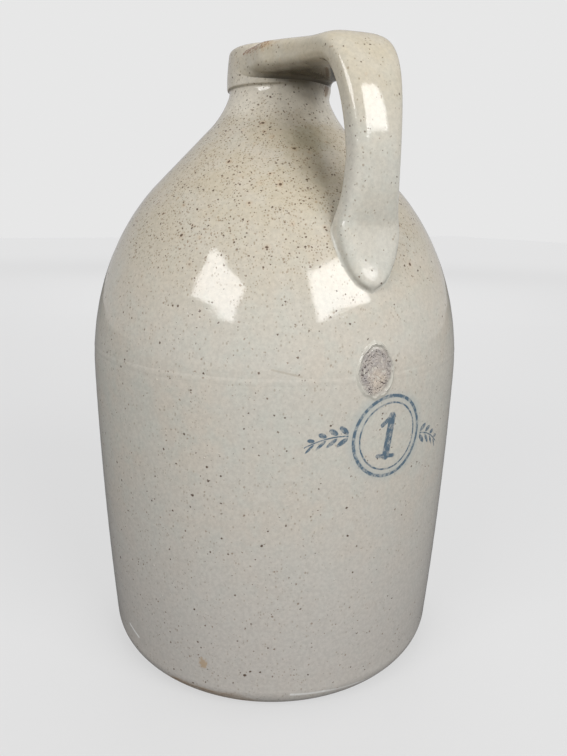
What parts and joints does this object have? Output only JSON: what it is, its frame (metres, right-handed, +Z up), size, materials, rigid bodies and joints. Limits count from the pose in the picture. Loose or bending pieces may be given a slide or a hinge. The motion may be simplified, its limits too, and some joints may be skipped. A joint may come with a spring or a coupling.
{
  "type": "stoneware jug",
  "caption": "Stoneware jug with a domed shoulder, narrow mouth collar and a strap handle from the collar to the dome, pale speckled glaze.",
  "frame": {"origin": "centre of the foot, on the surface that the jug stands on", "axes": "+Z up along the jug's axis, +X from the axis towards the strap handle"},
  "size_m": [0.178, 0.178, 0.285],
  "materials": {
    "body_glaze": "glossy pale grey-cream glaze with fine dark specks",
    "shoulder_glaze": "glossy cream glaze with a tan tint and dense brown iron specks",
    "handle_glaze": "glossy pale grey-cream glaze with sparse specks"
  },
  "bodies": {
    "root": {"lower_body": "body_glaze", "seam_lute": "body_glaze", "shoulder": "shoulder_glaze", "mouth_collar": "shoulder_glaze", "strap_handle": "handle_glaze"}
  },
  "joints": []
}
